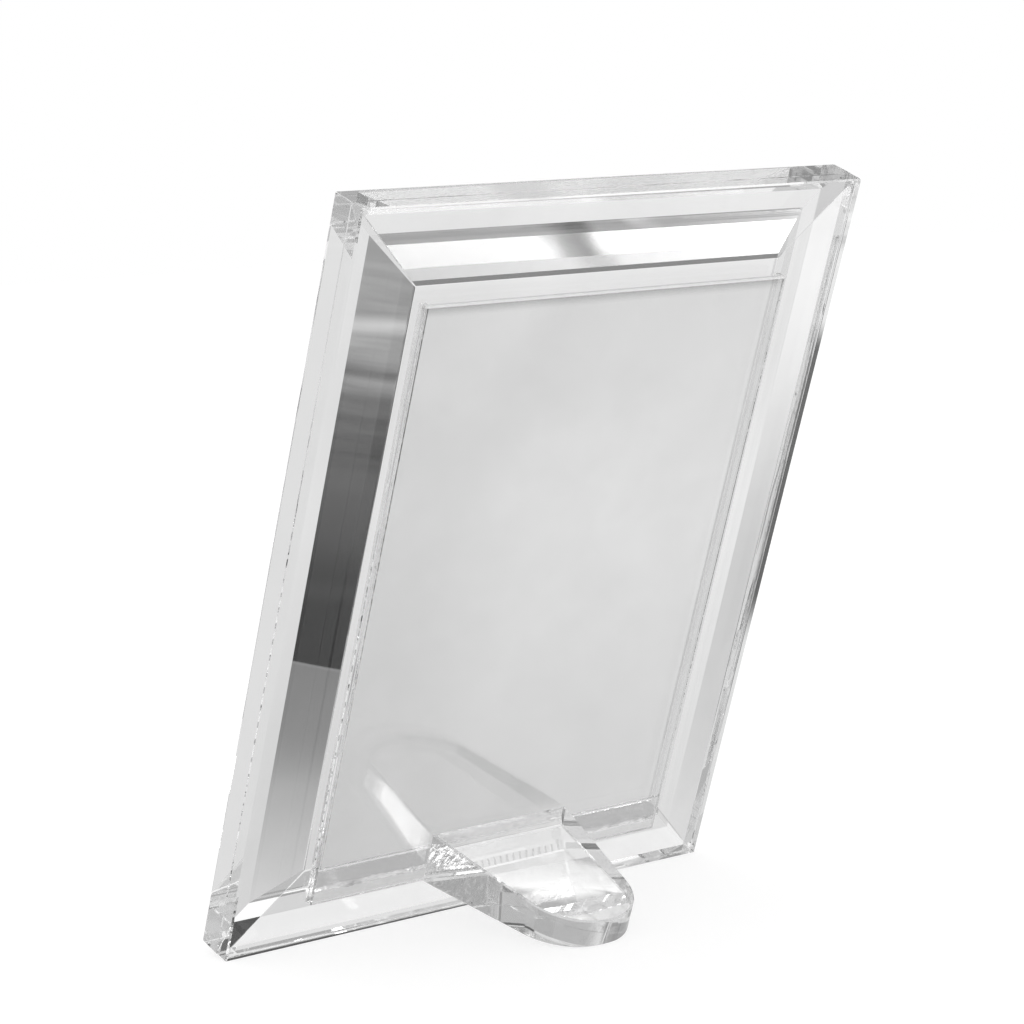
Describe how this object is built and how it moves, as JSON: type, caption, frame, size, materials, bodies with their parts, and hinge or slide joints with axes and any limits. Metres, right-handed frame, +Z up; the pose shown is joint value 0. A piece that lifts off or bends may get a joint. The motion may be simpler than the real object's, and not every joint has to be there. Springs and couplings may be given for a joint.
{
  "type": "picture frame",
  "caption": "Free-standing clear crystal picture frame: a plate with mitred bevelled bars in front, and a photo slot and tongue foot behind.",
  "frame": {"origin": "centre of the bounding box's footprint, on the table that the frame stands on", "axes": "+Z up, -Y to the front that shows the picture, +X to the right as seen from the front"},
  "size_m": [0.181, 0.096, 0.2213],
  "materials": {
    "cut_crystal": "clear polished crystal glass",
    "clear_strip": "clear bonding strip"
  },
  "bodies": {
    "root": {"back_plate": "cut_crystal", "bar_bottom": "cut_crystal", "bar_left": "cut_crystal", "bar_top": "cut_crystal", "bar_right": "cut_crystal", "photo_panel": "cut_crystal", "slot_strip_bottom": "clear_strip", "slot_strip_left": "clear_strip", "slot_strip_right": "clear_strip", "foot": "cut_crystal"}
  },
  "joints": []
}
